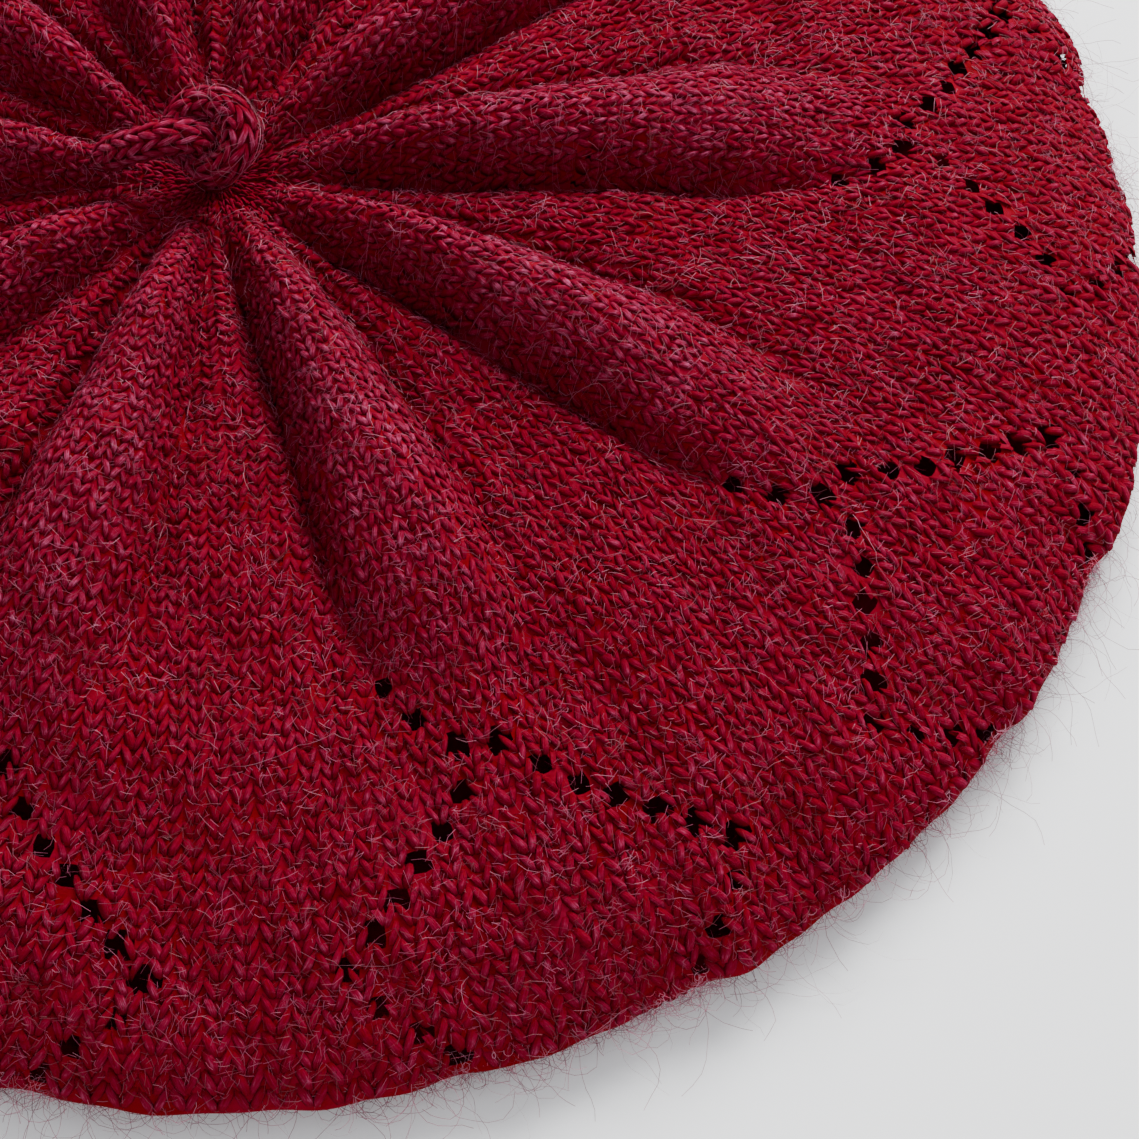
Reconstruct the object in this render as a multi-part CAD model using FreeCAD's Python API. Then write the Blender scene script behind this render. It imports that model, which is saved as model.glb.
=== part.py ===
"""Knitted beret: ten crown repeats with puffed ridges, an underside, a headband and a knotted stalk.

Frame: +Z up, origin at the centre of the face that the beret rests on, millimetres.
The beret lies as it is put down, band below and crown on top. Angles are about Z from +X.
"""
import FreeCAD, Part
import math
import os

# ---- driving dimensions ------------------------------------------------------------------
REPEATS = 10                 # lace repeats round the crown, one panel each
RIM_RADIUS = 135.0           # outermost fold of the blocked beret
RIM_HEIGHT = 6.0             # height of that fold above the table
CROWN_HEIGHT = 30.0          # outer face of the crown at the centre, before the dimple
DOME_RADIAL_POWER = 2.6      # superellipse of the dome: larger is flatter in the middle
DOME_HEIGHT_POWER = 1.6      # and larger here is rounder at the rim
DIMPLE_DEPTH = 5.0           # the drawn-in centre sits this far below the dome
DIMPLE_RADIUS = 14.0
FABRIC = 2.4                 # thickness of the wool and mohair stocking stitch
CENTRE_HOLE_RADIUS = 4.0     # last round of stitches, where the stalk grows out

RIDGE_HEIGHT = 6.0           # puffed ridge above the valley beside it
RIDGE_START = 5.0            # radius where the ridges begin to rise
RIDGE_FULL = 26.0            # radius where they reach their full height
RIDGE_FADE = 55.0            # radius where they begin to flatten
RIDGE_TIP_SHARE = 0.35       # part of the height that is left at the tip
RIDGE_WIDEST = 72.0          # radius where the leaf-shaped ridge is widest
RIDGE_TIP = 100.0            # radius of the leaf's point
RIDGE_HALF_WIDTH = 11.0
RIDGE_TAPER = 0.75           # larger makes the leaf narrower towards the centre

BAND_RADIUS = 78.0           # inner face of the ribbed band, unstretched
BAND_THICKNESS = 3.2
BAND_HEIGHT = 18.0           # from the table to the top of the band
BAND_GAP = 0.4               # the underside stops this far short of the band, which it moves past
EDGE_HEIGHT = 3.0            # cast-on edge, included in BAND_HEIGHT
EDGE_BULGE = 0.8             # how far the cast-on edge stands out past the band
UNDERSIDE_DIP = -1.5         # control height that draws the underside down from the rim
UNDERSIDE_TURN = (108.0, 3.0)  # control point where it starts to climb to the band

CORD_RADIUS = 3.1            # knitted cord of the stalk
ROOT_BOTTOM = 22.0
ROOT_TOP = 29.4
KNOT_CENTRE = (-1.0, 0.0, 36.4)
KNOT_RADII = (7.2, 7.0, 6.2)
END_ANGLE = 183.0            # the free end lies over the crown in this direction
END_START = 8.6              # distance of its first face from the stalk's axis
END_LENGTH = 14.0
END_HEIGHT = 38.2            # height of its centre line

# ---- how finely the surfaces are sampled -------------------------------------------------
STATIONS = 36                # from the centre to the rim
SPANS = 16                   # across one panel
UNDERSIDE_POINTS = 16

UP = FreeCAD.Vector(0, 0, 1)
ORIGIN = FreeCAD.Vector(0, 0, 0)
HALF_PANEL = math.pi / REPEATS


def dome_point(phi):
    """Radius and height of the dome's outer face; phi runs from 0 at the centre to pi/2 at the rim."""
    radius = RIM_RADIUS * math.sin(phi) ** (2.0 / DOME_RADIAL_POWER)
    rise = max(math.cos(phi), 0.0) ** (2.0 / DOME_HEIGHT_POWER)
    height = RIM_HEIGHT + (CROWN_HEIGHT - RIM_HEIGHT) * rise
    return radius, height - DIMPLE_DEPTH * math.exp(-((radius / DIMPLE_RADIUS) ** 2))


def ease(value, start, end):
    """Smooth step from 0 at start to 1 at end."""
    share = min(max((value - start) / (end - start), 0.0), 1.0)
    return share * share * (3.0 - 2.0 * share)


def ridge_half_width(radius):
    """Half width of the leaf-shaped ridge at a radius."""
    if radius < RIDGE_WIDEST:
        return RIDGE_HALF_WIDTH * (radius / RIDGE_WIDEST) ** RIDGE_TAPER
    share = min((radius - RIDGE_WIDEST) / (RIDGE_TIP - RIDGE_WIDEST), 1.0)
    return RIDGE_HALF_WIDTH * math.sqrt(1.0 - share * share)


def ridge_rise(radius, angle):
    """How far the fabric puffs out of the dome at a radius and an angle from the panel's axis."""
    half_width = ridge_half_width(radius)
    aside = abs(radius * math.sin(angle))
    if aside >= half_width:
        return 0.0
    fade = 1.0 - (1.0 - RIDGE_TIP_SHARE) * ease(radius, RIDGE_FADE, RIDGE_TIP)
    along = RIDGE_HEIGHT * ease(radius, RIDGE_START, RIDGE_FULL) * fade
    return along * (1.0 - (aside / half_width) ** 2) ** 1.5


def crown_grid(depth):
    """Grid of points on the panel about +X, depth below its outer face."""
    first = math.asin((CENTRE_HOLE_RADIUS / RIM_RADIUS) ** (DOME_RADIAL_POWER / 2.0))
    step = 1e-4
    grid = []
    for station in range(STATIONS + 1):
        phi = first + (0.5 * math.pi - first) * station / STATIONS
        radius, height = dome_point(phi)
        before = dome_point(max(phi - step, first))
        after = dome_point(min(phi + step, 0.5 * math.pi))
        run, fall = after[0] - before[0], after[1] - before[1]
        if station == 0:
            run, fall = 1.0, 0.0            # keep the centre's end face upright
        if station == STATIONS:
            run, fall = 0.0, -1.0           # and the rim's end face level
        size = math.hypot(run, fall)
        out, up = -fall / size, run / size
        row = []
        for span in range(SPANS + 1):
            angle = HALF_PANEL * (2.0 * span / SPANS - 1.0)
            shift = ridge_rise(radius, angle) - depth
            reach = radius + out * shift
            row.append(FreeCAD.Vector(reach * math.cos(angle), reach * math.sin(angle), height + up * shift))
        grid.append(row)
    return grid


def solid_from_faces(faces):
    """Close a set of faces into one solid with outward normals."""
    shell = Part.makeShell(faces)
    shell.sewShape(1e-3)
    solid = Part.makeSolid(shell)
    if solid.Volume < 0:
        solid.reverse()
    return solid


def crown_panel():
    """One repeat of the crown: a wedge of fabric with its puffed ridge, centred on +X."""
    faces = []
    for depth in (0.0, FABRIC):
        surface = Part.BSplineSurface()
        surface.interpolate(crown_grid(depth))
        faces.append(surface.toShape())
    outer, inner = faces
    for edge in outer.Edges:
        middle = Part.Vertex(edge.valueAt(0.5 * (edge.FirstParameter + edge.LastParameter)))
        below = min(inner.Edges, key=lambda other: other.distToShape(middle)[0])
        faces.append(Part.makeRuledSurface(edge, below))
    return solid_from_faces(faces)


def ring(profile):
    """Solid of revolution of a closed profile of (radius, height) corners."""
    corners = [FreeCAD.Vector(radius, 0, height) for radius, height in profile]
    wire = Part.makePolygon(corners + corners[:1])
    return Part.Face(wire).revolve(ORIGIN, UP, 360)


def headband():
    """Ribbed band that grips the head, a plain tube at its unstretched size."""
    outer = BAND_RADIUS + BAND_THICKNESS
    return ring([(BAND_RADIUS, EDGE_HEIGHT), (outer, EDGE_HEIGHT), (outer, BAND_HEIGHT), (BAND_RADIUS, BAND_HEIGHT)])


def cast_on_edge():
    """The thicker first round of stitches, which the beret stands on."""
    outer = BAND_RADIUS + BAND_THICKNESS + EDGE_BULGE
    return ring([
        (BAND_RADIUS, 0.0),
        (outer - EDGE_BULGE, 0.0),
        (outer, EDGE_BULGE),
        (outer, EDGE_HEIGHT - EDGE_BULGE),
        (outer - EDGE_BULGE, EDGE_HEIGHT),
        (BAND_RADIUS, EDGE_HEIGHT),
    ])


def underside_sides():
    """The underside's lower and upper faces as two rows of points in the XZ plane, rim first."""
    rim = (RIM_RADIUS - 0.5 * FABRIC, RIM_HEIGHT)
    band = (BAND_RADIUS + 0.5 * BAND_THICKNESS, BAND_HEIGHT - 0.5 * FABRIC)
    controls = [rim, (rim[0], UNDERSIDE_DIP), UNDERSIDE_TURN, band]
    lower, upper = [], []
    for index in range(UNDERSIDE_POINTS + 1):
        t = index / UNDERSIDE_POINTS
        weights = [(1 - t) ** 3, 3 * t * (1 - t) ** 2, 3 * t * t * (1 - t), t ** 3]
        slopes = [-3 * (1 - t) ** 2, 3 * (1 - t) ** 2 - 6 * t * (1 - t), 6 * t * (1 - t) - 3 * t * t, 3 * t * t]
        radius, height = (sum(w * c[i] for w, c in zip(weights, controls)) for i in (0, 1))
        run, climb = (sum(s * c[i] for s, c in zip(slopes, controls)) for i in (0, 1))
        reach = 0.5 * FABRIC / math.hypot(run, climb)
        lower.append(FreeCAD.Vector(radius - climb * reach, 0, height + run * reach))
        upper.append(FreeCAD.Vector(radius + climb * reach, 0, height - run * reach))
    return lower, upper


def underside():
    """Plain fabric from the rim's fold, turned under and in to the top of the band."""
    lower, upper = underside_sides()
    curves = []
    for points in (lower, upper):
        curve = Part.BSplineCurve()
        curve.interpolate(points)
        curves.append(curve.toShape())
    ends = [Part.makeLine(lower[0], upper[0]), Part.makeLine(lower[-1], upper[-1])]
    wire = Part.Wire(Part.sortEdges(curves + ends)[0])
    solid = Part.Face(wire).revolve(ORIGIN, UP, 360)
    return solid.cut(Part.makeCylinder(BAND_RADIUS + BAND_THICKNESS + BAND_GAP, 2 * BAND_HEIGHT))


def stalk_root():
    """Start of the knitted cord, standing in the crown's centre."""
    return Part.makeCylinder(CORD_RADIUS, ROOT_TOP - ROOT_BOTTOM, FreeCAD.Vector(0, 0, ROOT_BOTTOM))


def stalk_knot():
    """Outer shape of the overhand knot in the cord, with a flat where the free end comes out."""
    ball = Part.makeSphere(1.0)
    stretch = FreeCAD.Matrix()
    stretch.scale(*KNOT_RADII)
    knot = ball.transformGeometry(stretch)
    knot.translate(FreeCAD.Vector(*KNOT_CENTRE))
    beyond = Part.makeBox(20, 40, 40, FreeCAD.Vector(END_START - 0.4, -20, 20))
    beyond.rotate(ORIGIN, UP, END_ANGLE)
    return knot.cut(beyond)


def stalk_end():
    """Free end of the cord past the knot, rounded at its tip."""
    centre = FreeCAD.Vector(END_START, 0, END_HEIGHT)
    end = Part.makeCylinder(CORD_RADIUS, END_LENGTH, centre, FreeCAD.Vector(1, 0, 0))
    tip = [edge for edge in end.Edges if edge.BoundBox.XMin > END_START + END_LENGTH - 1e-6]
    end = end.makeFillet(0.6 * CORD_RADIUS, tip)
    end.rotate(ORIGIN, UP, END_ANGLE)
    return end


def build():
    """Every node of the beret by name."""
    nodes = {
        "headband": headband(),
        "cast_on_edge": cast_on_edge(),
        "crown_underside": underside(),
        "stalk_root": stalk_root(),
        "stalk_knot": stalk_knot(),
        "stalk_end": stalk_end(),
    }
    first = crown_panel()
    for index in range(REPEATS):
        panel = first.copy()
        panel.rotate(ORIGIN, UP, 360.0 * index / REPEATS)
        nodes[f"crown_panel_{index + 1:02d}"] = panel
    return nodes


os.makedirs("parts", exist_ok=True)
for name, shape in build().items():
    shape.exportStep(f"parts/{name}.step")
    print(f"{name:16s} valid {shape.isValid()}  {shape.Volume / 1000:7.2f} cm3")
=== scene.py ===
"""A hand-knitted beret of burgundy wool and mohair, lying crown up on a pale table."""

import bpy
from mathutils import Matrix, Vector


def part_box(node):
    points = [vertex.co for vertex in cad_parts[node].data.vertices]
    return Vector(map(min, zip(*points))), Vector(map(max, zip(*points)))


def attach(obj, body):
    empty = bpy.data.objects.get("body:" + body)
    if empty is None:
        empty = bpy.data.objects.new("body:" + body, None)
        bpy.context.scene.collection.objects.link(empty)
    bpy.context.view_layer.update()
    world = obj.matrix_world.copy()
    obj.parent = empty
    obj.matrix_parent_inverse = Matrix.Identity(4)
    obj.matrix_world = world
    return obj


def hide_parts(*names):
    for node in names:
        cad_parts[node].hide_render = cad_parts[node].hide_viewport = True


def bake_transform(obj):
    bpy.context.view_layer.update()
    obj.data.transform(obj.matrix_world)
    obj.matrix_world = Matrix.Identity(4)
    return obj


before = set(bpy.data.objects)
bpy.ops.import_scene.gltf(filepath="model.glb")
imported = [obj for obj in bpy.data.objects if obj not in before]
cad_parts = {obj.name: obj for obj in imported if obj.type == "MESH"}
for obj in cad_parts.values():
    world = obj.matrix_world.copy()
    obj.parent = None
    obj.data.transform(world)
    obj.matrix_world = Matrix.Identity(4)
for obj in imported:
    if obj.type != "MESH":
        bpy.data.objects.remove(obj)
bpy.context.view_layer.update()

import math

import bmesh
import bpy
import numpy as np
from mathutils import Matrix, Vector

MM = 0.001                   # the sections below work in millimetres
rng = np.random.default_rng(7)


# ---- Yarn --------------------------------------------------------------------------------
# One soft two-ply yarn of wool and kid mohair, about 1.5 mm across, dyed burgundy. The whole
# hat is knitted from it, each stitch a V of two legs, and brushed so that its surface mats.

REPEATS = 10
REPEAT_ANGLE = 2 * math.pi / REPEATS
COLUMNS_PER_REPEAT = 22
FULL_WIDTH_RADIUS = 129.0
STITCH_WIDTH = REPEAT_ANGLE * FULL_WIDTH_RADIUS / COLUMNS_PER_REPEAT
ROUND_HEIGHT = 2.2

LEG_ACROSS = 0.43            # a leg's width, as a share of its column
LEG_ALONG = 1.52             # its length, in rounds: it reaches under the next round
HALF_LEG = 0.78
LEG_START = 0.30
LEG_THICKNESS = 0.80
LEG_FOOT = 0.09              # how far aside of the column's middle it starts, in columns
LEG_LEAN = 0.33              # and how far it leans out from there
LEG_ARCH = 0.27
LEG_DIP = 0.32
TONE_SPREAD = 10

FIBRE_SCALE = (20.0, 3.6, 1.0)   # 0.2 mm across and 1 mm long, coarse enough to show
FIBRE_TWIST = 0.30
DYE_SCALE = 50.0             # per metre: the dye takes unevenly over 2 cm
MATTED_SCALE = 650.0         # per metre: brushed fibres mat over 1.5 mm
FIBRE_SHARE = 1.7
TONE_SHARE = 0.014
DYE_SHARE = 0.30
MATTED_SHARE = 0.9
DARKEST = 1.20
PALEST = 1.80


def linear(hex_colour):
    """An sRGB hex colour as linear red, green, blue and alpha."""
    channels = [int(hex_colour[i:i + 2], 16) / 255 for i in (1, 3, 5)]
    return [c / 12.92 if c <= 0.04045 else ((c + 0.055) / 1.055) ** 2.4 for c in channels] + [1.0]


def add_node(tree, kind, settings, links):
    """Add a node: settings are its properties and socket values, links the sockets that feed it."""
    node = tree.nodes.new(kind)
    for key, value in settings.items():
        if isinstance(key, str) and hasattr(node, key):
            setattr(node, key, value)
        else:
            node.inputs[key].default_value = value
    for key, socket in links.items():
        tree.links.new(socket, node.inputs[key])
    return node


def ramp_node(tree, factor, stops):
    """A colour ramp with the given (position, hex colour) stops."""
    node = add_node(tree, "ShaderNodeValToRGB", {}, {"Fac": factor})
    while len(node.color_ramp.elements) < len(stops):
        node.color_ramp.elements.new(0.5)
    for element, (position, colour) in zip(node.color_ramp.elements, stops):
        element.position = position
        element.color = linear(colour)
    return node


def weighted(tree, terms):
    """The sum of some sockets, each times its weight."""
    total = None
    for socket, weight in terms:
        links = {0: socket} if total is None else {0: socket, 2: total}
        part = add_node(tree, "ShaderNodeMath", {"operation": "MULTIPLY_ADD", 1: weight, 2: 0.0}, links)
        total = part.outputs[0]
    return total


def yarn_material(name, shades, crest_highlight_share, sheen):
    """Brushed woollen yarn, dull and soft.

    A painted highlight lightens the crest of each leg, and the gaps between legs stay deep and rich."""
    material = bpy.data.materials.new(name)
    material.use_nodes = True
    tree = material.node_tree
    tree.nodes.clear()
    along = add_node(tree, "ShaderNodeUVMap", {"uv_map": "yarn"}, {})
    tone = add_node(tree, "ShaderNodeAttribute", {"attribute_name": "tone"}, {})
    # painted highlight: this attribute paints each leg paler towards its crest
    crest_highlight = add_node(tree, "ShaderNodeAttribute", {"attribute_name": "crest_highlight"}, {})
    place = add_node(tree, "ShaderNodeTexCoord", {}, {})
    # fibres lie with the twist, and no two legs show the same ones
    twist = {"Scale": FIBRE_SCALE, "Rotation": (0, 0, FIBRE_TWIST)}
    twisted = add_node(tree, "ShaderNodeMapping", twist, {"Vector": along.outputs[0]})
    both = {0: twisted.outputs[0], 1: tone.outputs["Vector"]}
    apart = add_node(tree, "ShaderNodeVectorMath", {"operation": "ADD"}, both)
    streaks = {"Scale": 1.0, "Detail": 3.0, "Roughness": 0.65}
    fibres = add_node(tree, "ShaderNodeTexNoise", streaks, {"Vector": apart.outputs[0]})
    dye = {"Scale": DYE_SCALE, "Detail": 3.0, "Roughness": 0.6}
    cloud = add_node(tree, "ShaderNodeTexNoise", dye, {"Vector": place.outputs["Object"]})
    brushed = {"Scale": MATTED_SCALE, "Detail": 3.0, "Roughness": 0.65}
    matted = add_node(tree, "ShaderNodeTexNoise", brushed, {"Vector": place.outputs["Object"]})
    light = weighted(tree, [
        (crest_highlight.outputs["Fac"], crest_highlight_share), (fibres.outputs["Fac"], FIBRE_SHARE),
        (tone.outputs["Fac"], TONE_SHARE), (cloud.outputs["Fac"], DYE_SHARE),
        (matted.outputs["Fac"], MATTED_SHARE)])
    limits = {"From Min": DARKEST, "From Max": PALEST + crest_highlight_share}
    spread = add_node(tree, "ShaderNodeMapRange", limits, {"Value": light})
    colour = ramp_node(tree, spread.outputs[0], shades)
    bump = add_node(tree, "ShaderNodeBump", {"Strength": 0.6, "Distance": 0.0003}, {"Height": light})
    finish = {
        "Roughness": 0.95, "Specular IOR Level": 0.02,
        "Sheen Weight": sheen, "Sheen Roughness": 0.6, "Sheen Tint": linear("#C8406A"),
    }
    surface = {"Base Color": colour.outputs[0], "Normal": bump.outputs[0]}
    shader = add_node(tree, "ShaderNodeBsdfPrincipled", finish, surface)
    add_node(tree, "ShaderNodeOutputMaterial", {}, {"Surface": shader.outputs[0]})
    return material


face_shades = [(0.0, "#64030E"), (0.38, "#680416"), (0.64, "#740C2A"), (1.0, "#A04666")]
burgundy_yarn = yarn_material("burgundy_wool_mohair_yarn", face_shades, 0.80, 0.04)
ground_shades = [(0.0, "#66040E"), (0.5, "#74061C"), (1.0, "#841430")]
ground_yarn = yarn_material("burgundy_purl_side", ground_shades, 0.3, 0.02)


def leg_of_yarn(bm, side, width, height, sides, rings):
    """One leg of a knit stitch: a strand that leans out as it rises and dips under at both ends."""
    before = set(bm.verts)
    made = bmesh.ops.create_uvsphere(bm, u_segments=sides, v_segments=rings, radius=0.5, calc_uvs=True)
    verts = [v for v in made["verts"] if v not in before]
    bmesh.ops.rotate(bm, verts=verts, matrix=Matrix.Rotation(-math.pi / 2, 3, "X"))
    bmesh.ops.scale(bm, verts=verts, vec=(LEG_ACROSS * width, LEG_ALONG * height, LEG_THICKNESS))
    for vert in verts:
        middle_out = vert.co.y / (HALF_LEG * height)
        rise = 0.5 + 0.5 * middle_out
        lean = rise * rise * (3.0 - 2.0 * rise)
        vert.co.x = side * (vert.co.x + width * (LEG_FOOT + LEG_LEAN * lean))
        vert.co.y += LEG_START * height
        vert.co.z += LEG_ARCH * (1.0 - middle_out * middle_out) - LEG_DIP * rise * rise
    if side < 0:
        bmesh.ops.reverse_faces(bm, faces=list({f for v in verts for f in v.link_faces}))


def flat_knitting(columns, rounds, width=STITCH_WIDTH, height=ROUND_HEIGHT, sides=5, rings=5):
    """A flat swatch of stocking stitch, x from its middle column and y up from its first round."""
    bm = bmesh.new()
    bm.loops.layers.uv.new("yarn")
    for side in (1, -1):
        leg_of_yarn(bm, side, width, height, sides, rings)
    mesh = bpy.data.meshes.new("stitch")
    bm.to_mesh(mesh)
    bm.free()
    stitch = bpy.data.objects.new("stitch", mesh)
    bpy.context.collection.objects.link(stitch)
    for count, offset in ((columns, (width, 0, 0)), (rounds, (0, height, 0))):
        array = stitch.modifiers.new("repeat", "ARRAY")
        array.count = count
        array.use_relative_offset = False
        array.use_constant_offset = True
        array.constant_offset_displace = offset
    repeated = stitch.evaluated_get(bpy.context.evaluated_depsgraph_get())
    swatch = bpy.data.meshes.new_from_object(repeated)
    leg_verts = len(mesh.vertices) // 2
    bpy.data.objects.remove(stitch)
    points = coordinates(swatch)
    points[:, 0] -= width * (columns - 1) / 2
    set_coordinates(swatch, points)
    return swatch, leg_verts


def coordinates(mesh):
    """A mesh's vertices as an array of rows."""
    points = np.empty(len(mesh.vertices) * 3)
    mesh.vertices.foreach_get("co", points)
    return points.reshape(-1, 3)


def set_coordinates(mesh, points):
    """Move a mesh's vertices to the rows of an array."""
    mesh.vertices.foreach_set("co", np.ascontiguousarray(points, dtype=float).ravel())
    mesh.update()


def give_dye(mesh, leg_verts, lift, nap=0.0):
    """Give each leg of yarn a random tone, paler by its nap (on the crown, painted light on the puffed
    leaves and painted shade in their folds), and each point a painted highlight by its nearness to a
    crest.
    """
    legs = len(mesh.vertices) // leg_verts
    tone = mesh.attributes.new("tone", "FLOAT", "POINT")
    tones = np.repeat(rng.uniform(-TONE_SPREAD, TONE_SPREAD, legs), leg_verts) + nap
    tone.data.foreach_set("value", tones.astype(np.float32))
    # painted highlight: the higher a point stands on its leg, the paler it is painted
    crest_highlight = mesh.attributes.new("crest_highlight", "FLOAT", "POINT")
    height = np.clip((lift + 0.10) / 0.75, 0, 1)
    crest_highlight.data.foreach_set("value", (height ** 2).astype(np.float32))


def uneven(count, leg_verts, amount):
    """Small random shifts, one per leg of yarn: hand knitting is never quite even."""
    return np.repeat(rng.normal(0.0, 1.0, (count // leg_verts, 3)) * amount, leg_verts, axis=0)


def piece(name, mesh, material):
    """A finished piece of the hat from its mesh in metres."""
    mesh.name = name
    mesh.materials.clear()
    mesh.materials.append(material)
    mesh.polygons.foreach_set("use_smooth", [True] * len(mesh.polygons))
    obj = bpy.data.objects.new(name, mesh)
    bpy.context.collection.objects.link(obj)
    return obj


# ---- Crown -------------------------------------------------------------------------------
# Ten repeats knitted in the round in stocking stitch from the rim to the centre. Each is a
# puffed leaf whose point is an eyelet, and two lines of eyelets spread from it to the rim.
# The columns of stitches fan out over the rim, and run along each leaf and each hollow.

RIM_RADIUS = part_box("crown_panel_01")[1][0] / MM
RIM_HEIGHT = 6.0
CROWN_HEIGHT = 30.0
DIMPLE_DEPTH = 5.0
DIMPLE_RADIUS = 14.0
LEAF_TURN = math.radians(0.4)
LEAF_HEIGHT = 7.2
LEAF_WIDEST = 72.0
LEAF_TIP = 99.5
LEAF_HALF_WIDTH = 11.0
TIP_HALF_WIDTH = 3.4
LOZENGE_START = 102.0
LOZENGE_WIDEST = 121.5
LEAF_DRIFT = math.radians(2.4)
CENTRE_SHIFT = (-2.5, -3.0)  # the middle of the crown, where the hand that laid it left it
INNER_SHARE = 0.70           # columns are narrower towards the centre
MOTIF_COLUMNS = 21
FIELD_COLUMNS = 27
CROWN_ROUNDS = 75
FIRST_STITCH = 3.1           # from the centre, where the stitches draw together under the stalk
GROUND_START = 1.5
GROUND_LIFT = 0.02
EYELET_RADIUS = 1.35
EYELET_SIZES = (0.84, 1.12)
LEAF_PAINTED_LIGHT_AND_SHADE = 22.0         # painted light and shade: the puffed leaves are painted paler than the fields between them, and their folds darker


def ease(value, start, end):
    """Smooth step from 0 at start to 1 at end."""
    share = np.clip((value - start) / (end - start), 0.0, 1.0)
    return share * share * (3.0 - 2.0 * share)


dome_turn = np.linspace(0.002, math.pi / 2, 900)
dome_radius = RIM_RADIUS * np.sin(dome_turn) ** (2 / 2.6)
dome_share = np.clip(np.cos(dome_turn), 0, None) ** (2 / 1.6)
dome_height = RIM_HEIGHT + (CROWN_HEIGHT - RIM_HEIGHT) * dome_share
dome_height -= DIMPLE_DEPTH * np.exp(-((dome_radius / DIMPLE_RADIUS) ** 2))
dome_run, dome_fall = np.gradient(dome_radius), np.gradient(dome_height)
dome_steps = np.hypot(np.diff(dome_radius), np.diff(dome_height))
dome_length = np.concatenate([[0.0], np.cumsum(dome_steps)]) + dome_radius[0]
dome_out = -dome_fall / np.hypot(dome_run, dome_fall)
dome_up = dome_run / np.hypot(dome_run, dome_fall)
RIM_LENGTH = dome_length[-1]


def radius_at(length):
    """Radius of the crown at a distance from its centre along the fabric."""
    return np.interp(length, dome_length, dome_radius)


def length_at(radius):
    """Distance from the centre along the fabric at a radius."""
    return np.interp(radius, dome_radius, dome_length)


def from_leaf(angle):
    """Angle from the axis of the nearest leaf."""
    return (angle - LEAF_TURN + REPEAT_ANGLE / 2) % REPEAT_ANGLE - REPEAT_ANGLE / 2


def leaf_half_width(radius):
    """Half width of the puffed leaf at a radius."""
    inner = LEAF_HALF_WIDTH * (np.clip(radius, 0, LEAF_WIDEST) / LEAF_WIDEST) ** 0.75
    share = np.clip((radius - LEAF_WIDEST) / (LEAF_TIP - LEAF_WIDEST), 0, 1)
    return inner * np.sqrt(1.0 - share ** 2.2)


def motif_half_width(radius):
    """Half width of the whole motif: the leaf, then the lozenge that its eyelets enclose."""
    widening = 1.17 * np.clip(radius - LOZENGE_START, 0, LOZENGE_WIDEST - LOZENGE_START)
    closing = 0.8 * np.clip(radius - LOZENGE_WIDEST, 0, None)
    return np.maximum(leaf_half_width(radius), TIP_HALF_WIDTH + widening - closing)


pucker_waves = rng.normal(0.0, 1.0, (14, 2)) / rng.uniform(3.2, 8.0, (14, 1))
pucker_starts = rng.uniform(0, 2 * math.pi, 14)


def pucker(radius, angle):
    """Soft unevenness of the lying fabric, under a millimetre."""
    x, y = radius * np.cos(angle), radius * np.sin(angle)
    pairs = zip(pucker_waves, pucker_starts)
    waves = sum(np.sin(x * along_x + y * along_y + start) for (along_x, along_y), start in pairs)
    return 0.16 * waves * ease(radius, 15, 60)


def leaf_rise(radius, aside):
    """How far a leaf puffs out.

    It leans on a deep fold along its clockwise edge, and eases down on the other side."""
    half = np.maximum(leaf_half_width(radius), 2.5)
    along = ease(radius, 4, 34) * (1.0 - ease(radius, 54, 101)) ** 0.8
    dome = np.clip(1.0 - (aside / half) ** 2, 0, None)
    puff = LEAF_HEIGHT * np.where(aside < 0, dome ** 0.85, dome ** 1.35)
    depth = np.where(aside < 0, 3.6, 1.6)
    fold = depth * np.exp(-(((np.abs(aside) - half) / 2.3) ** 2)) * ease(radius, 8, 24)
    return along * puff - fold * (1.0 - ease(radius, 60, 98))


def crown_surface(length, angle):
    """The fabric's middle in millimetres: the dome with its leaves puffed and its rim pulled in.

    The hat was laid down by hand, so its centre and its leaves lie a few millimetres off true."""
    radius = radius_at(length)
    aside_angle = from_leaf(angle)
    raised = leaf_rise(radius, radius * np.sin(aside_angle)) + pucker(radius, angle)
    notch = -1.3 * np.exp(-(((np.abs(aside_angle) - 0.115) / 0.035) ** 2)) * ease(radius, 118, 134)
    reach = radius + np.interp(length, dome_length, dome_out) * raised + notch
    height = np.interp(length, dome_length, dome_height)
    height = height + np.interp(length, dome_length, dome_up) * raised
    lies = angle - LEAF_DRIFT * np.cos(angle + math.radians(140)) * ease(radius, 10, 80)
    shift = 1.0 - ease(radius, 8, 70)
    x = reach * np.cos(lies) + CENTRE_SHIFT[0] * shift
    y = reach * np.sin(lies) + CENTRE_SHIFT[1] * shift
    return np.stack([x, y, height], axis=1)


def on_crown(length, angle, lift):
    """Points of the crown in millimetres, from distance along the fabric, angle and height off it."""
    middle = crown_surface(length, angle)
    inward = crown_surface(length - 0.4, angle) - middle
    turnward = crown_surface(length, angle + 0.4 / np.maximum(radius_at(length), 1.0)) - middle
    off = np.cross(turnward, inward)
    off /= np.maximum(np.linalg.norm(off, axis=1), 1e-9)[:, None]
    return middle + off * lift[:, None]


leaf_asides = np.linspace(0.0, 24.0, 241)
leaf_arcs = []
for radius in np.linspace(1.0, 136.0, 136):
    slope = np.gradient(leaf_rise(np.full(241, radius), leaf_asides), leaf_asides)
    leaf_arcs.append(np.concatenate([[0.0], np.cumsum(np.hypot(1.0, slope[1:]) * 0.1)]))


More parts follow.
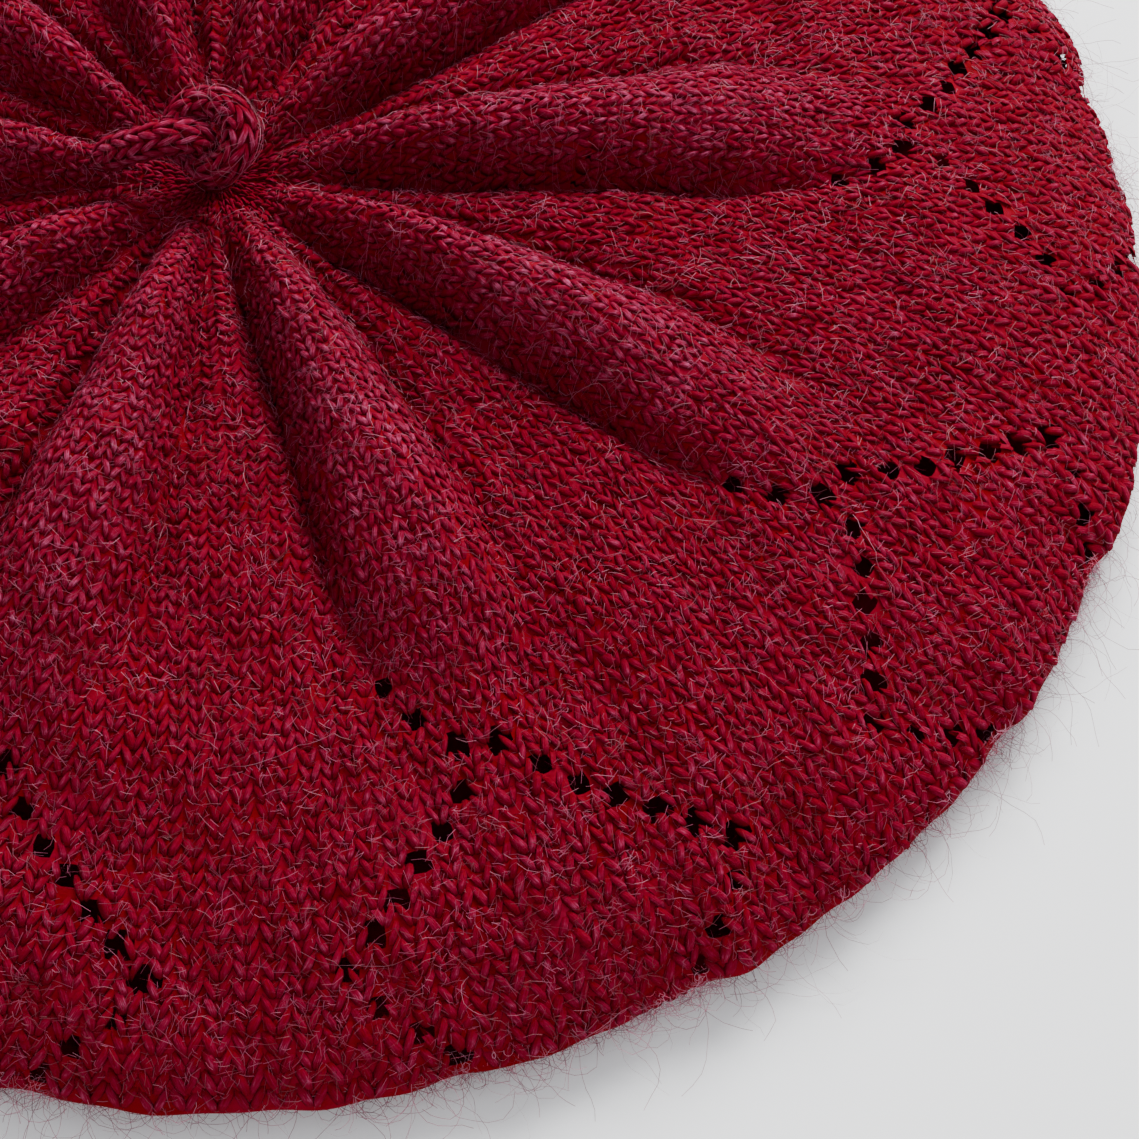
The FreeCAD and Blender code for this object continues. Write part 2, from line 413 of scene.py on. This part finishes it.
def aside_of(radius, across):
    """Distance aside of a leaf's axis, from the distance across its puffed surface."""
    aside = np.empty_like(across)
    row = np.clip(radius - 1.0, 0, 134.999)
    low = row.astype(int)
    for index in np.unique(low):
        chosen = low == index
        reach = np.abs(across[chosen])
        near = np.interp(reach, leaf_arcs[index], leaf_asides)
        far = np.interp(reach, leaf_arcs[index + 1], leaf_asides)
        beyond = np.maximum(reach - leaf_arcs[index][-1], 0)
        blend = row[chosen] - index
        aside[chosen] = np.sign(across[chosen]) * (near + (far - near) * blend + beyond)
    return aside


def eyelet_places():
    """Each eyelet of one repeat as its radius, its distance aside of the leaf's axis, and its size."""
    # two at the leaf's point, and three smaller ones along its clockwise edge
    places = [
        (97.6, -3.9, 1.0), (98.4, 1.4, 1.0),
        (92.8, -7.3, 0.7), (87.6, -9.6, 0.55), (81.5, -11.2, 0.45)]
    for step in range(6):
        for side in (-1, 1):
            places.append((103.6 + 3.6 * step, side * (5.0 + 4.15 * step), 0.8 + 0.05 * step))
    for step in range(3):
        for side in (-1, 1):
            places.append((126.2 + 3.7 * step, side * (23.4 - 3.6 * step), 0.75))
    return places


eyelets = []
for radius, aside, size in eyelet_places():
    turn = math.asin(aside / radius) + LEAF_TURN
    eyelets.append((length_at(radius), turn, size * rng.uniform(*EYELET_SIZES)))


def eyelet_push(length, angle, hole, reach, stretch):
    """How far the eyelets of this repeat and the next push the yarn aside, along and round the crown."""
    down_push, turn_push = np.zeros_like(length), np.zeros_like(angle)
    radius = np.maximum(radius_at(length), 1.0)
    for turn in (0.0, REPEAT_ANGLE):
        for eyelet_length, eyelet_angle, size in eyelets:
            across = radius * (angle - turn - eyelet_angle)
            down = (length - eyelet_length) / stretch
            apart = np.maximum(np.hypot(across, down), 0.05)
            push = hole * size * np.clip(1.0 - apart / reach, 0, None) / apart
            down_push += push * down * stretch
            turn_push += push * across / radius
    return down_push, turn_push


def near_eyelet(length, angle, share, stretch=1.0):
    """True where a point lies within a share of an eyelet's radius."""
    hit = np.zeros(len(length), bool)
    radius = radius_at(length)
    for turn in (0.0, REPEAT_ANGLE):
        for eyelet_length, eyelet_angle, size in eyelets:
            across = radius * (angle - turn - eyelet_angle)
            hit |= np.hypot(across, (length - eyelet_length) / stretch) < share * EYELET_RADIUS * size
    return hit


def keep_only(mesh, kept_verts):
    """Delete the vertices that aren't kept."""
    bm = bmesh.new()
    bm.from_mesh(mesh)
    bmesh.ops.delete(bm, geom=[v for v, kept in zip(bm.verts, kept_verts) if not kept], context="VERTS")
    bm.to_mesh(mesh)
    bm.free()


def repeat_stitches():
    """One repeat's stitches, as distance along the fabric, angle and lift in place of x, y and z."""
    joined = bmesh.new()
    joined.loops.layers.uv.new("yarn")
    for centre, columns in ((0.0, MOTIF_COLUMNS), (REPEAT_ANGLE / 2, FIELD_COLUMNS)):
        swatch, leg_verts = flat_knitting(columns, CROWN_ROUNDS)
        flat = coordinates(swatch)
        # rounds are stretched over the rim and drawn up towards the centre
        knitted = flat[:, 1] + 0.6 * ROUND_HEIGHT
        length = RIM_LENGTH - 1.08 * knitted + 0.0013 * knitted ** 2
        radius = radius_at(length)
        share = np.maximum(INNER_SHARE, radius / FULL_WIDTH_RADIUS) * ease(length, -6, 22)
        across = flat[:, 0] * share
        if not centre:
            across = aside_of(radius, across)
        angle = centre + LEAF_TURN + across / radius
        legs = len(flat) // leg_verts
        leg_length = length.reshape(legs, leg_verts).mean(1)
        leg_angle = angle.reshape(legs, leg_verts).mean(1)
        leg_radius = radius_at(leg_length)
        leg_aside = np.abs(leg_radius * np.sin(from_leaf(leg_angle)))
        in_motif = leg_aside <= motif_half_width(leg_radius)
        kept = ~in_motif if centre else in_motif
        kept &= np.abs(leg_angle - LEAF_TURN - centre) <= REPEAT_ANGLE / 2
        kept &= leg_length > FIRST_STITCH
        kept &= ~near_eyelet(leg_length, leg_angle, 0.95, 1.25)
        down_push, turn_push = eyelet_push(leg_length, leg_angle, 0.60 * EYELET_RADIUS, 3.2, 1.3)
        length = length + np.repeat(down_push, leg_verts)
        angle = angle + np.repeat(turn_push, leg_verts)
        set_coordinates(swatch, np.stack([length, angle, flat[:, 2]], axis=1))
        keep_only(swatch, np.repeat(kept, leg_verts))
        joined.from_mesh(swatch)
    mesh = bpy.data.meshes.new("repeat")
    joined.to_mesh(mesh)
    joined.free()
    return mesh, leg_verts


def repeat_ground():
    """The purl side of one repeat as a sheet under the stitches, with real openings at the eyelets."""
    bm = bmesh.new()
    bm.loops.layers.uv.new("yarn")
    bmesh.ops.create_grid(bm, x_segments=130, y_segments=78, size=0.5, calc_uvs=True)
    mesh = bpy.data.meshes.new("ground")
    bm.to_mesh(mesh)
    bm.free()
    flat = coordinates(mesh)
    length = GROUND_START + (flat[:, 0] + 0.5) * (RIM_LENGTH - GROUND_START)
    angle = LEAF_TURN + REPEAT_ANGLE * (flat[:, 1] + 0.25)
    hit = near_eyelet(length, angle, 0.66)
    down_push, turn_push = eyelet_push(length, angle, 0.66 * EYELET_RADIUS, 2.9, 1.0)
    lift = np.full(len(flat), GROUND_LIFT)
    set_coordinates(mesh, np.stack([length + down_push, angle + turn_push, lift], axis=1))
    keep_only(mesh, ~hit)
    return mesh


stitches, LEG_VERTS = repeat_stitches()
ground = repeat_ground()
stitch_points, ground_points = coordinates(stitches), coordinates(ground)
stitch_radius = radius_at(stitch_points[:, 0])
stitch_aside = stitch_radius * np.sin(from_leaf(stitch_points[:, 1]))
puffed = leaf_rise(stitch_radius, stitch_aside) / LEAF_HEIGHT
# painted light and shade: the higher a leaf puffs, the paler its stitches are painted, and the deeper its
# fold, the darker
stitch_painted_light_and_shade = LEAF_PAINTED_LIGHT_AND_SHADE * np.clip(puffed, -0.3, 0.7) - 4.5

for index in range(REPEATS):
    turn = index * REPEAT_ANGLE
    mesh = stitches.copy()
    points = stitch_points + uneven(len(stitch_points), LEG_VERTS, (0.14, 0.0, 0.13))
    aside = uneven(len(points), LEG_VERTS, 0.14)[:, 0]
    points[:, 1] += aside / np.maximum(radius_at(points[:, 0]), 8.0)
    set_coordinates(mesh, on_crown(points[:, 0], points[:, 1] + turn, points[:, 2]) * MM)
    give_dye(mesh, LEG_VERTS, stitch_points[:, 2], stitch_painted_light_and_shade)
    knit = piece(f"crown_repeat_{index + 1:02d}", mesh, burgundy_yarn)
    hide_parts(f"crown_panel_{index + 1:02d}")
    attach(knit, "crown")
    mesh = ground.copy()
    points = on_crown(ground_points[:, 0], ground_points[:, 1] + turn, ground_points[:, 2])
    set_coordinates(mesh, points * MM)
    inside = piece(f"crown_purl_side_{index + 1:02d}", mesh, ground_yarn)
    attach(inside, "crown")


# ---- Underside ---------------------------------------------------------------------------
# The part of the hat that turns under at the rim and runs in to the headband, knitted from
# the band outwards in plain stocking stitch, so that its columns spread towards the rim.

UNDERSIDE_COLUMNS = 200
UNDERSIDE_PARTS = 5
UNDERSIDE_TURNS = ((133.8, 6.0), (133.8, -1.5), (108.0, 3.0), (79.6, 16.8))   # radius, height
UNDERSIDE_LIFT = 0.85        # its legs lie a little flatter than the crown's

under_share = np.linspace(1.0, 0.0, 400)
under_terms = [math.comb(3, i) * under_share ** i * (1 - under_share) ** (3 - i) for i in range(4)]
under_radius = sum(term * place[0] for term, place in zip(under_terms, UNDERSIDE_TURNS))
under_height = sum(term * place[1] for term, place in zip(under_terms, UNDERSIDE_TURNS))
under_steps = np.hypot(np.diff(under_radius), np.diff(under_height))
under_length = np.concatenate([[0.0], np.cumsum(under_steps)])
under_run, under_climb = np.gradient(under_radius), np.gradient(under_height)
under_out = under_climb / np.hypot(under_run, under_climb)
under_down = -under_run / np.hypot(under_run, under_climb)


def on_underside(length, angle, lift):
    """Points of the underside in millimetres, from distance from the band, angle and height off it."""
    radius = np.interp(length, under_length, under_radius)
    radius = radius + np.interp(length, under_length, under_out) * lift
    height = np.interp(length, under_length, under_height)
    height = height + np.interp(length, under_length, under_down) * lift
    return np.stack([radius * np.cos(angle), radius * np.sin(angle), height], axis=1)


part_columns = UNDERSIDE_COLUMNS // UNDERSIDE_PARTS
under_rounds = int(under_length[-1] / ROUND_HEIGHT)
for part in range(UNDERSIDE_PARTS):
    mesh, leg_verts = flat_knitting(part_columns, under_rounds, sides=5, rings=4)
    flat = coordinates(mesh)
    lift = UNDERSIDE_LIFT * flat[:, 2]
    shifted = flat + uneven(len(flat), leg_verts, (0.13, 0.13, 0.05))
    turns = shifted[:, 0] / STITCH_WIDTH / UNDERSIDE_COLUMNS + part / UNDERSIDE_PARTS
    angle = 2 * math.pi * turns
    set_coordinates(mesh, on_underside(shifted[:, 1] + 1.2, angle, lift) * MM)
    give_dye(mesh, leg_verts, lift)
    underside = piece(f"underside_part_{part + 1}", mesh, burgundy_yarn)
    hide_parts("crown_underside")
    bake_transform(underside)

bm = bmesh.new()
bm.loops.layers.uv.new("yarn")
bmesh.ops.create_grid(bm, x_segments=24, y_segments=240, size=0.5, calc_uvs=True)
purl = bpy.data.meshes.new("underside_purl_side")
bm.to_mesh(purl)
bm.free()
flat = coordinates(purl)
length = (flat[:, 0] + 0.5) * under_length[-1]
inside_by = np.full(len(flat), -0.6)
set_coordinates(purl, on_underside(length, -2 * math.pi * flat[:, 1], inside_by) * MM)
# the sheet closes on itself round the band
bm = bmesh.new()
bm.from_mesh(purl)
bmesh.ops.remove_doubles(bm, verts=bm.verts[:], dist=1e-6)
bm.to_mesh(purl)
bm.free()
underside_inside = piece("underside_purl_side", purl, ground_yarn)
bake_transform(underside_inside)


# ---- Headband and cast-on edge -----------------------------------------------------------
# The hat starts here: 220 stitches cast on, then six rounds of single rib, whose raised
# columns show on both faces in turn. The cast-on edge is a row of slanted beads of yarn.

BAND_OUTSIDE = 80.9
BAND_INSIDE = 78.2
BAND_MIDDLE = 79.6
RIB_COLUMNS = 110
RIB_WIDTH = 2 * math.pi * BAND_MIDDLE / RIB_COLUMNS
RIB_STITCH = 3.4
RIB_ROUNDS = 6
RIB_ROUND_HEIGHT = 2.45
RIB_LIFT = 0.8
BAND_FOOT = 3.2
BAND_TOP = 18.4

for name, face_radius, facing in (("outside", BAND_OUTSIDE, 1), ("inside", BAND_INSIDE, -1)):
    mesh, leg_verts = flat_knitting(
        RIB_COLUMNS, RIB_ROUNDS, width=RIB_STITCH, height=RIB_ROUND_HEIGHT, sides=5, rings=4)
    flat = coordinates(mesh)
    column = np.round(flat[:, 0] / RIB_STITCH + (RIB_COLUMNS - 1) / 2) - (RIB_COLUMNS - 1) / 2
    shifted = flat + uneven(len(flat), leg_verts, (0.10, 0.10, 0.04))
    across = shifted[:, 0] + column * (RIB_WIDTH - RIB_STITCH)
    # the inside's ribs stand where the outside's furrows are
    half_rib = 0.5 * RIB_WIDTH / BAND_MIDDLE if facing < 0 else 0.0
    angle = facing * (across / BAND_MIDDLE + half_rib)
    radius = face_radius + facing * RIB_LIFT * flat[:, 2]
    height = np.clip(BAND_FOOT + 0.8 + shifted[:, 1], BAND_FOOT - 1.0, BAND_TOP)
    set_coordinates(mesh, np.stack([radius * np.cos(angle), radius * np.sin(angle), height], axis=1) * MM)
    give_dye(mesh, leg_verts, RIB_LIFT * flat[:, 2])
    ribs = piece(f"headband_ribs_{name}", mesh, burgundy_yarn)
    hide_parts("headband")
    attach(ribs, "band")

bm = bmesh.new()
bm.loops.layers.uv.new("yarn")
near, far = BAND_INSIDE + 0.4, BAND_OUTSIDE - 0.4
low, high = BAND_FOOT - 1.0, BAND_TOP
corners = ((near, 0, low), (far, 0, low), (far, 0, high), (near, 0, high))
section = [bm.verts.new(corner) for corner in corners]
ring = [bm.edges.new((section[i], section[(i + 1) % 4])) for i in range(4)]
bmesh.ops.spin(
    bm, geom=section + ring, axis=(0, 0, 1), cent=(0, 0, 0), angle=2 * math.pi, steps=2 * RIB_COLUMNS,
    use_merge=True)
bmesh.ops.recalc_face_normals(bm, faces=bm.faces[:])
for vert in bm.verts:
    turn = math.atan2(vert.co.y, vert.co.x) * RIB_COLUMNS
    outward = 0.35 * math.cos(turn)
    length = math.hypot(vert.co.x, vert.co.y)
    vert.co.x *= (length + outward) / length
    vert.co.y *= (length + outward) / length
bmesh.ops.scale(bm, verts=bm.verts[:], vec=(MM, MM, MM))
core = bpy.data.meshes.new("headband_core")
bm.to_mesh(core)
bm.free()
band_core = piece("headband_core", core, ground_yarn)
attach(band_core, "band")

mesh, leg_verts = flat_knitting(RIB_COLUMNS, 1, width=2.2, height=1.0, sides=6, rings=5)
flat = coordinates(mesh)
legs = len(flat) // leg_verts
middle = np.repeat(flat.reshape(legs, leg_verts, 3).mean(1), leg_verts, axis=0)
bead = np.repeat(np.arange(legs), leg_verts)
local = flat - middle
# each bead is thicker and rounder than a leg of the ribs, and slants across the edge
across = 1.25 * local[:, 0] + 0.55 * local[:, 1]
angle = 2 * math.pi * bead / legs + across / BAND_MIDDLE
radius = BAND_MIDDLE + 2.05 * local[:, 2]
height = np.clip(1.75 + 1.55 * local[:, 1] + 0.15 * np.sin(7.0 * bead), 0.15, None)
set_coordinates(mesh, np.stack([radius * np.cos(angle), radius * np.sin(angle), height], axis=1) * MM)
give_dye(mesh, leg_verts, 0.9 * np.abs(local[:, 2]) + 0.2)
cast_on = piece("cast_on_beads", mesh, burgundy_yarn)
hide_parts("cast_on_edge")
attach(cast_on, "band")


# ---- Stalk -------------------------------------------------------------------------------
# A knitted cord of five stitches, drawn out of the crown's centre, tied in one overhand knot
# and left with a short free end that lies to the left. Its five columns run along it.

CORD_COLUMNS = 5
CORD_RADIUS = 2.15
CORD_ROUND = 2.15
CORD_NAP = 11.0
CORE_RADIUS = CORD_RADIUS - 0.45
END_ROUNDS = 7
ROOT_ROUNDS = 5
FOOT_ROUNDS = 3
KNOT_MIDDLE = Vector((-3.3, -4.4, 35.2))
# across, up and out of the knot's face, which leans back
KNOT_FACE = ((0.9945, -0.0857, 0.0594), (0.0441, 0.8617, 0.5056), (-0.0945, -0.5002, 0.8608))
ROOT_TURNS = ((-2.4, -2.9, 22.5), (-2.4, -3.0, 26.5), (-2.8, -3.6, 29.4))
KNOT_TURNS = (
    (-3.0, -1.6, -1.6), (-4.6, 1.6, 0.0), (-2.6, 4.8, 0.8), (1.6, 5.2, 1.2), (4.7, 2.6, 1.8),
    (4.6, -1.6, 2.0), (2.2, -4.2, 1.0), (-1.4, -3.4, -1.2), (-0.8, -1.0, 0.0), (-1.0, 0.4, 1.9),
    (-4.8, 0.2, 3.4), (-8.6, -0.7, 2.2), (-12.6, -1.5, 0.6), (-16.2, -2.9, -0.2))


def knot_place(across, up, out):
    """A point of the knot in millimetres, from places on its tilted face."""
    face = [Vector(direction) for direction in KNOT_FACE]
    return KNOT_MIDDLE + across * face[0] + up * face[1] + out * face[2]


def smooth_line(controls):
    """Evenly spaced points, 0.1 mm apart, of the smooth curve that these control points draw."""
    curve = bpy.data.curves.new("line", "CURVE")
    curve.dimensions = "3D"
    curve.resolution_u = 20
    spline = curve.splines.new("NURBS")
    spline.points.add(len(controls) - 1)
    for point, place in zip(spline.points, controls):
        point.co = (*place, 1.0)
    spline.order_u = 3
    spline.use_endpoint_u = True
    line = bpy.data.objects.new("line", curve)
    bpy.context.collection.objects.link(line)
    drawn = line.evaluated_get(bpy.context.evaluated_depsgraph_get())
    mesh = bpy.data.meshes.new_from_object(drawn)
    points = coordinates(mesh)
    bpy.data.objects.remove(line)
    run = np.concatenate([[0.0], np.cumsum(np.linalg.norm(np.diff(points, axis=0), axis=1))])
    even = np.arange(0.0, run[-1], 0.1)
    return np.stack([np.interp(even, run, points[:, i]) for i in range(3)], axis=1)


def frames_along(points):
    """Two directions square to a line at each of its points, turning as little as they can."""
    tangents = np.gradient(points, axis=0)
    tangents /= np.linalg.norm(tangents, axis=1)[:, None]
    normal = np.cross(tangents[0], (0.3, 0.9, 0.1))
    normals = []
    for tangent in tangents:
        normal = normal - tangent * normal.dot(tangent)
        normal /= np.linalg.norm(normal)
        normals.append(normal)
    normals = np.array(normals)
    return normals, np.cross(tangents, normals)


stalk_turns = list(ROOT_TURNS) + [tuple(knot_place(*turn)) for turn in KNOT_TURNS]
stalk_line = smooth_line(stalk_turns)[::-1].copy()
stalk_normals, stalk_binormals = frames_along(stalk_line)
stalk_run = np.arange(len(stalk_line)) * 0.1
STALK_LENGTH = stalk_run[-1]


def on_stalk(along, turn, out):
    """Points of the stalk in millimetres, from distance from its free end, turn and radius."""
    middle, normal, binormal = (
        np.stack([np.interp(along, stalk_run, values[:, i]) for i in range(3)], axis=1)
        for values in (stalk_line, stalk_normals, stalk_binormals))
    round_off = np.sqrt(np.clip(along / 2.4, 0.03, 1.0))
    aside, above = np.cos(turn) * (out * round_off), np.sin(turn) * (out * round_off)
    return middle + normal * aside[:, None] + binormal * above[:, None]


cord_width = 2 * math.pi * CORD_RADIUS / CORD_COLUMNS
all_rounds = int((STALK_LENGTH - 0.5) / CORD_ROUND)
knot_end, root_end = all_rounds - ROOT_ROUNDS, all_rounds - FOOT_ROUNDS
for name, first, last, node in (
        ("stalk_free_end", 0, END_ROUNDS, "stalk_end"),
        ("stalk_knotted_cord", END_ROUNDS, knot_end, "stalk_knot"),
        ("stalk_root_cord", knot_end, root_end, "stalk_root"),
        ("stalk_foot_cord", root_end, all_rounds, "stalk_root")):
    mesh, leg_verts = flat_knitting(CORD_COLUMNS, last - first, width=cord_width, height=CORD_ROUND)
    flat = coordinates(mesh)
    shifted = flat + uneven(len(flat), leg_verts, (0.08, 0.08, 0.05))
    along = shifted[:, 1] + first * CORD_ROUND + 0.7
    out = CORD_RADIUS + 0.85 * flat[:, 2]
    set_coordinates(mesh, on_stalk(along, shifted[:, 0] / CORD_RADIUS, out) * MM)
    give_dye(mesh, leg_verts, flat[:, 2], CORD_NAP)
    cord = piece(name, mesh, burgundy_yarn)
    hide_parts(node)
    bm = bmesh.new()
    bm.loops.layers.uv.new("yarn")
    bmesh.ops.create_grid(bm, x_segments=12, y_segments=4 * (last - first), size=0.5, calc_uvs=True)
    core = bpy.data.meshes.new(name + "_core")
    bm.to_mesh(core)
    bm.free()
    flat = coordinates(core)
    along = 0.5 + (first + (flat[:, 1] + 0.5) * (last - first)) * CORD_ROUND
    out = np.full(len(flat), CORE_RADIUS)
    set_coordinates(core, on_stalk(along, 2 * math.pi * flat[:, 0], out) * MM)
    inner = piece(name + "_core", core, ground_yarn)
    for part in (cord, inner):
        if node == "stalk_end":
            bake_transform(part)
        elif name == "stalk_foot_cord":
            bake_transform(part)
        elif node == "stalk_root":
            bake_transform(part)
        else:
            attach(part, "knot")


# ---- Mohair halo -------------------------------------------------------------------------
# Fine kid-mohair hairs that brushing has pulled out of the yarn: they lie over the stitches,
# and stand off the rim in loose curls. Each is a flat ribbon, a little wider than a real hair
# so that it shows.

HAIR_WIDTH = 0.05
NAP_WIDTH = 0.055
CURL_WIDTH = 0.065
CURL_RADIUS = 134.4
FRINGE_RADIUS = 133.6


def hair_material(name, dark, light):
    """Single dyed hairs, paler than the yarn, because light passes through them."""
    material = bpy.data.materials.new(name)
    material.use_nodes = True
    tree = material.node_tree
    tree.nodes.clear()
    place = add_node(tree, "ShaderNodeTexCoord", {}, {})
    dye = {"Scale": 260.0, "Detail": 1.0, "Roughness": 0.5}
    noise = add_node(tree, "ShaderNodeTexNoise", dye, {"Vector": place.outputs["Object"]})
    colour = ramp_node(tree, noise.outputs["Fac"], [(0.35, dark), (0.65, light)])
    finish = {"Roughness": 0.55, "Specular IOR Level": 0.4}
    shader = add_node(tree, "ShaderNodeBsdfPrincipled", finish, {"Base Color": colour.outputs[0]})
    add_node(tree, "ShaderNodeOutputMaterial", {}, {"Surface": shader.outputs[0]})
    return material


surface_hair = hair_material("burgundy_mohair_hair", "#5E061E", "#8C3454")
rim_hair = hair_material("pale_mohair_hair", "#6A1E36", "#A06074")


def wandering(count, steps, lengths, curl, heading):
    """Flat curly paths: steps along and across for each hair, in millimetres."""
    bend = rng.normal(0.0, 1.0, (count, 1)) * curl
    wobble = np.cumsum(rng.normal(0.0, 0.22, (count, steps)), axis=1)
    share = np.linspace(0, 1, steps)[None, :]
    course = heading[:, None] + bend * share + wobble
    stride = (lengths / (steps - 1))[:, None]
    along = np.cumsum(np.cos(course) * stride, axis=1) - np.cos(course[:, :1]) * stride
    across = np.cumsum(np.sin(course) * stride, axis=1) - np.sin(course[:, :1]) * stride
    return along, across


def hairs(name, paths, width, material):
    """A tuft of hairs as one object, from an array of paths in metres."""
    curve = bpy.data.curves.new(name, "CURVE")
    curve.dimensions = "3D"
    curve.resolution_u = 1
    curve.extrude = width * MM / 2
    for path in paths:
        spline = curve.splines.new("POLY")
        spline.points.add(len(path) - 1)
        spline.points.foreach_set("co", np.hstack([path, np.ones((len(path), 1))]).ravel())
        spline.points.foreach_set("tilt", np.full(len(path), rng.uniform(0, math.pi)))
    obj = bpy.data.objects.new(name, curve)
    bpy.context.collection.objects.link(obj)
    curve.materials.append(material)
    return obj


def crown_hairs(count, steps, shortest, longest, low, hump, curl):
    """Hairs that lie on the crown, each humped in its middle."""
    length = length_at(RIM_RADIUS * np.sqrt(rng.uniform(0.004, 0.985, count)))
    angle = rng.uniform(0, 2 * math.pi, count)
    lengths = shortest + (longest - shortest) * rng.uniform(0, 1, count) ** 2.2
    along, across = wandering(count, steps, lengths, curl, rng.uniform(0, 2 * math.pi, count))
    down = length[:, None] + along
    turn = angle[:, None] + across / np.maximum(radius_at(length), 6.0)[:, None]
    hump_share = np.sin(np.linspace(0, math.pi, steps))[None, :]
    lift = low + rng.uniform(0, 0.4, (count, 1)) + hump_share * hump * rng.uniform(0.2, 1, (count, 1))
    points = on_crown(np.clip(down.ravel(), 2.0, RIM_LENGTH), turn.ravel(), lift.ravel())
    clear = ~near_eyelet(length, angle % REPEAT_ANGLE, 1.25)
    return points.reshape(count, steps, 3)[clear] * MM


for layer, lift in (("under", 0.22), ("upper", 0.44)):
    nap = crown_hairs(41000, 3, 0.9, 3.2, lift, 0.30, 0.6)
    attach(hairs(f"mohair_over_crown_{layer}", nap, NAP_WIDTH, surface_hair), "crown")
long_hairs = crown_hairs(40, 12, 9.0, 24.0, 0.8, 0.9, 3.5)
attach(hairs("long_mohair_over_crown", long_hairs, HAIR_WIDTH, rim_hair), "crown")

# loose curls round the rim, most of them short, that sink towards the table as they reach out
count, steps = 7000, 9
angle = rng.uniform(0, 2 * math.pi, count)
lengths = 2.0 + 14.0 * rng.uniform(0, 1, count) ** 3.0
reach, aside = wandering(count, steps, lengths, 4.6, rng.normal(0.0, 0.95, count))
start_height = rng.uniform(2.6, 9.0, count)
reach = np.clip(reach, -2.0, None)
sink = np.clip(reach / 11.0, 0, 1) * (start_height - 0.8)[:, None] * rng.uniform(0.1, 1.0, (count, 1))
height = np.clip(start_height[:, None] - sink, 0.35, None)
radius = CURL_RADIUS - 0.25 * np.abs(start_height - RIM_HEIGHT)[:, None] + reach
turn = angle[:, None] + aside / 135.0
rim_paths = np.stack([radius * np.cos(turn), radius * np.sin(turn), height], axis=2) * MM
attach(hairs("mohair_round_rim", rim_paths, CURL_WIDTH, rim_hair), "crown")

# a short bright fringe along the rim's edge, where light comes through the nap
fringe_hair = hair_material("backlit_mohair_fringe", "#A02440", "#D05672")
count, steps = 7500, 4
angle = rng.uniform(0, 2 * math.pi, count)
reach, aside = wandering(count, steps, rng.uniform(0.8, 2.6, count), 1.6, rng.normal(0.0, 1.1, count))
foot = rng.uniform(-1.2, 1.2, count)
radius = FRINGE_RADIUS * (1.0 - 0.004 * foot ** 2)[:, None] + np.clip(reach, -0.6, None)
turn = angle[:, None] + aside / 135.0
height = np.clip(5.0 + 3.0 * foot[:, None] - 0.3 * reach, 0.8, None)
fringe_paths = np.stack([radius * np.cos(turn), radius * np.sin(turn), height], axis=2) * MM
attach(hairs("mohair_fringe", fringe_paths, HAIR_WIDTH, fringe_hair), "crown")

# hairs on the cord, apart from the stretches that bend at its joints
count, steps = 420, 6
along = rng.uniform(0.3, STALK_LENGTH - 3.0, count)
lengths = rng.uniform(2.0, 6.0, count)
run, aside = wandering(count, steps, lengths, 1.6, rng.uniform(0, 2 * math.pi, count))
turn = rng.uniform(0, 2 * math.pi, (count, 1)) + aside / 3.0
lift = CORD_RADIUS + 0.7 + np.linspace(0, 1, steps)[None, :] * rng.uniform(0, 1.3, (count, 1))
places = np.clip(along[:, None] + run, 0.1, STALK_LENGTH)
stalk_paths = on_stalk(places.ravel(), turn.ravel(), lift.ravel()).reshape(count, steps, 3) * MM
for name, body, from_length, to_length in (
        ("mohair_on_free_end", "stalk_tip", 0.0, 8.0),
        ("mohair_on_knot", "knot", 11.0, STALK_LENGTH - 9.0)):
    on_part = (places > from_length).all(axis=1) & (places < to_length).all(axis=1)
    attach(hairs(name, stalk_paths[on_part], HAIR_WIDTH, surface_hair), body)


# ---- Table, light and camera --------------------------------------------------------------
# A plain white table in soft daylight from behind and above, seen from the front and above.

bpy.ops.mesh.primitive_plane_add(size=6.0, location=(0, 0, 0))
table = bpy.context.object
table.name = "white_table"
paper = bpy.data.materials.new("matt_white_board")
paper.use_nodes = True
board = paper.node_tree.nodes["Principled BSDF"]
board.inputs["Base Color"].default_value = linear("#FAFAFB")
board.inputs["Roughness"].default_value = 0.75
table.data.materials.append(paper)

world = bpy.data.worlds.new("daylight")
world.use_nodes = True
world.node_tree.nodes["Background"].inputs["Color"].default_value = (0.95, 0.97, 1.0, 1.0)
world.node_tree.nodes["Background"].inputs["Strength"].default_value = 1.0
bpy.context.scene.world = world


def soft_light(name, position, size, watts):
    """A square soft box that faces the hat."""
    light = bpy.data.lights.new(name, "AREA")
    light.size = size
    light.energy = watts
    lamp = bpy.data.objects.new(name, light)
    lamp.location = position
    lamp.rotation_euler = (-Vector(position)).to_track_quat("-Z", "Y").to_euler()
    bpy.context.collection.objects.link(lamp)


soft_light("window", (0.52, 1.10, 0.92), 0.9, 68.0)

camera = bpy.data.objects.new("camera", bpy.data.cameras.new("camera"))
camera.data.lens = 94.8
camera.data.sensor_width = 36.0
camera.data.clip_start = 0.01
right = Vector((0.994547, -0.085721, 0.059390))
above = Vector((0.044077, 0.861662, 0.505565))
camera.matrix_world = Matrix((
    (right.x, above.x, right.cross(above).x, 0.00464),
    (right.y, above.y, right.cross(above).y, -0.26843),
    (right.z, above.z, right.cross(above).z, 0.36670),
    (0, 0, 0, 1)))
bpy.context.collection.objects.link(camera)
bpy.context.scene.camera = camera
